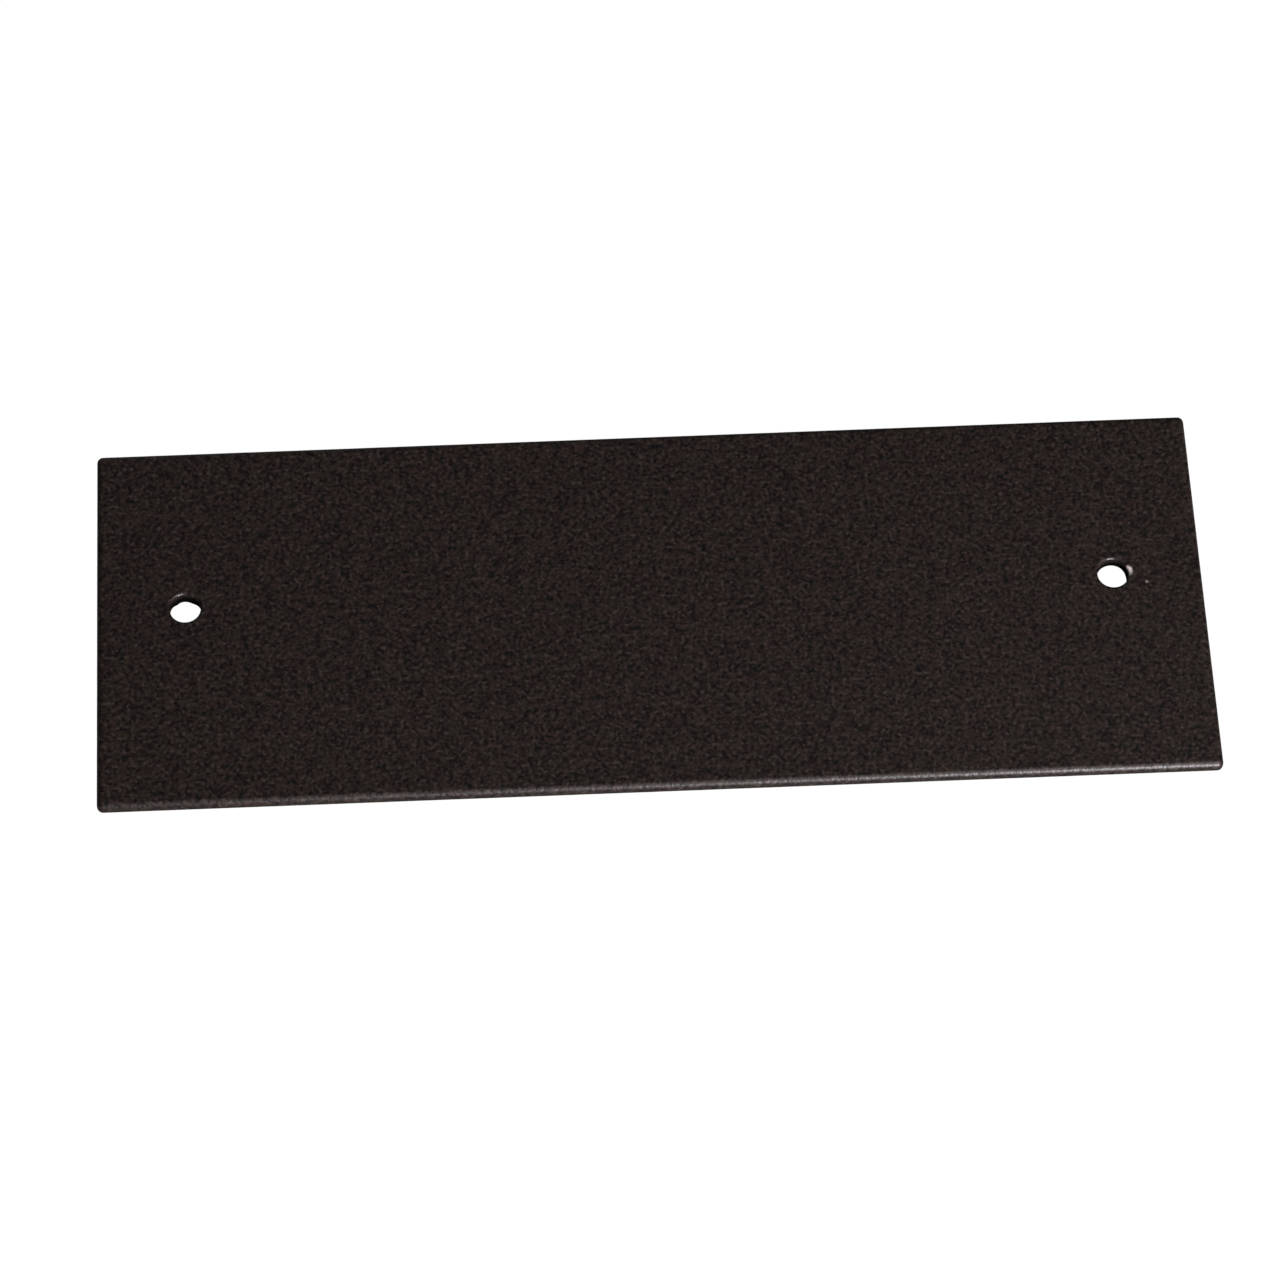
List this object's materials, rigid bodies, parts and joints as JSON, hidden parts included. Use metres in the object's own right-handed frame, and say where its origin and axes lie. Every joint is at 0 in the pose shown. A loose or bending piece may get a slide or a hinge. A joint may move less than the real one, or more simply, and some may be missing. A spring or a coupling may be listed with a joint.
{
  "type": "kick plate",
  "caption": "Flat rectangular steel kick plate, dark bronze textured powder coat, eased edges, with plain screw holes near its ends.",
  "frame": {"origin": "centre of the plate's back face", "axes": "+X along the plate's length, +Y across it towards the long edge that the screw holes are nearer to, +Z out of the show face"},
  "size_m": [0.25, 0.09, 0.0035],
  "materials": {
    "bronze_powder_coat": "dark bronze, fine textured powder coat, low sheen"
  },
  "bodies": {
    "root": {"kick_plate": "bronze_powder_coat"}
  },
  "joints": []
}
